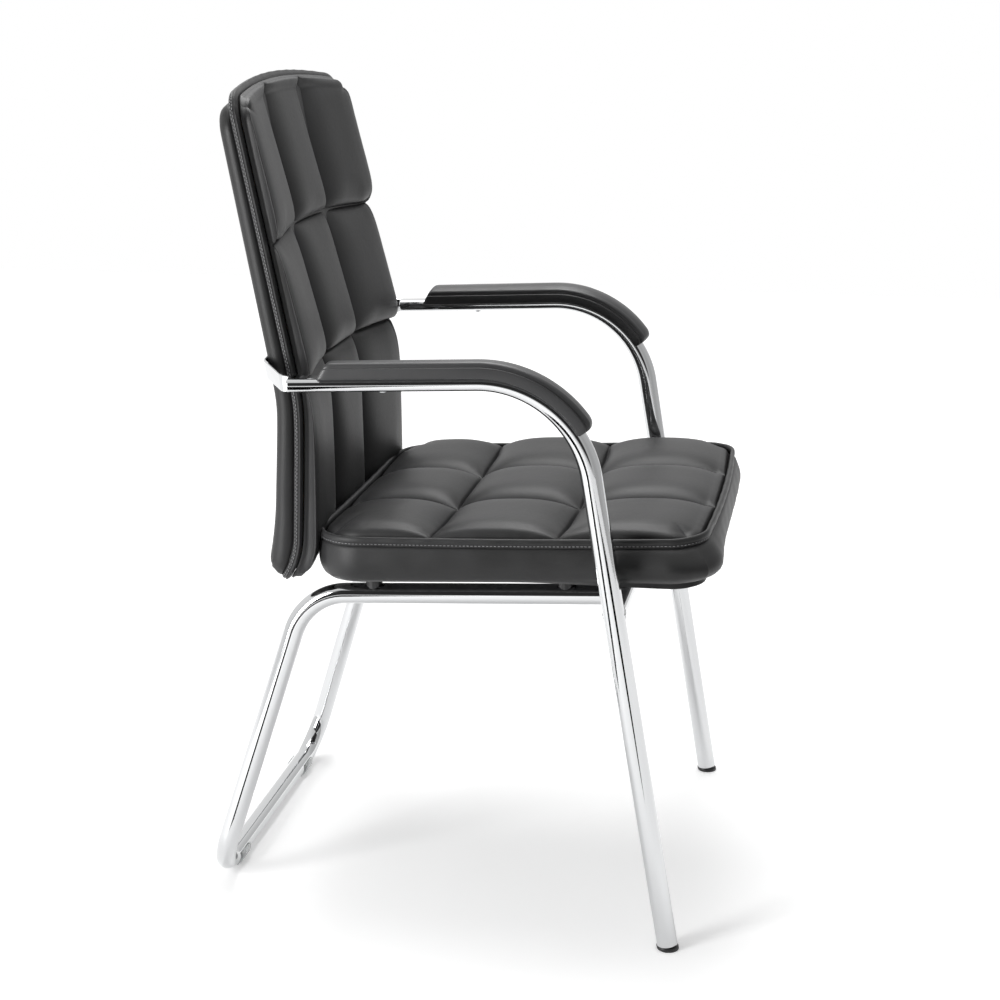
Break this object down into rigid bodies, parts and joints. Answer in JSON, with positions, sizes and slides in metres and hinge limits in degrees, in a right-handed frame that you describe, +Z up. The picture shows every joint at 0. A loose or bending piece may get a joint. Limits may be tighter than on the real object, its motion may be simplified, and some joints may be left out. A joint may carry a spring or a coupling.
{
  "type": "sled base visitor chair",
  "caption": "Armchair for visitors: tufted leather seat and tall tufted back on a chromed bent tube frame with a rear floor loop, straight front legs and moulded arm pads.",
  "frame": {"origin": "on the floor, under the middle of the chair's bounding box", "axes": "+Z up; the sitter faces -Y; the sitter's right hand is on the -X side"},
  "size_m": [0.5738, 0.6311, 0.9976],
  "materials": {
    "chrome": "polished chrome plate on steel tube and strap",
    "zinc_steel": "zinc plated steel fasteners",
    "seat_leather": "black bonded leather, soft sheen, fine grain",
    "back_leather": "black bonded leather, soft sheen, fine grain",
    "pad_plastic": "satin black moulded arm pad",
    "black_plastic": "black moulded plastic",
    "clear_plastic": "translucent clip-on plastic glide",
    "plywood": "bent plywood, hidden inside the upholstery",
    "dust_cloth": "black non-woven dust cloth"
  },
  "bodies": {
    "root": {"arm_leg_tube_right": "chrome", "foot_cap_right": "black_plastic", "bar_glide_right": "clear_plastic", "arm_pad_right": "pad_plastic", "arm_pad_screw_right": "zinc_steel", "arm_leg_tube_left": "chrome", "foot_cap_left": "black_plastic", "bar_glide_left": "clear_plastic", "arm_pad_left": "pad_plastic", "arm_pad_screw_left": "zinc_steel", "rear_loop_tube": "chrome", "front_cross_tube": "chrome", "seat_cushion": "seat_leather", "seat_welt": "seat_leather", "seat_board": "plywood", "back_board": "plywood", "seat_dust_cover": "dust_cloth", "seat_spacer_front_right": "black_plastic", "seat_bolt_front_right": "zinc_steel", "seat_tee_nut_front_right": "zinc_steel", "seat_spacer_rear_right": "black_plastic", "seat_bolt_rear_right": "zinc_steel", "seat_tee_nut_rear_right": "zinc_steel", "seat_spacer_front_left": "black_plastic", "seat_bolt_front_left": "zinc_steel", "seat_tee_nut_front_left": "zinc_steel", "seat_spacer_rear_left": "black_plastic", "seat_bolt_rear_left": "zinc_steel", "seat_tee_nut_rear_left": "zinc_steel", "back_cushion": "back_leather", "back_flange": "back_leather", "back_rear_cover": "back_leather", "back_strap_right": "chrome", "back_bolt_outer_right": "zinc_steel", "back_washer_outer_right": "zinc_steel", "back_tee_nut_outer_right": "zinc_steel", "back_bolt_inner_right": "zinc_steel", "back_washer_inner_right": "zinc_steel", "back_tee_nut_inner_right": "zinc_steel", "back_strap_left": "chrome", "back_bolt_outer_left": "zinc_steel", "back_washer_outer_left": "zinc_steel", "back_tee_nut_outer_left": "zinc_steel", "back_bolt_inner_left": "zinc_steel", "back_washer_inner_left": "zinc_steel", "back_tee_nut_inner_left": "zinc_steel"}
  },
  "joints": []
}
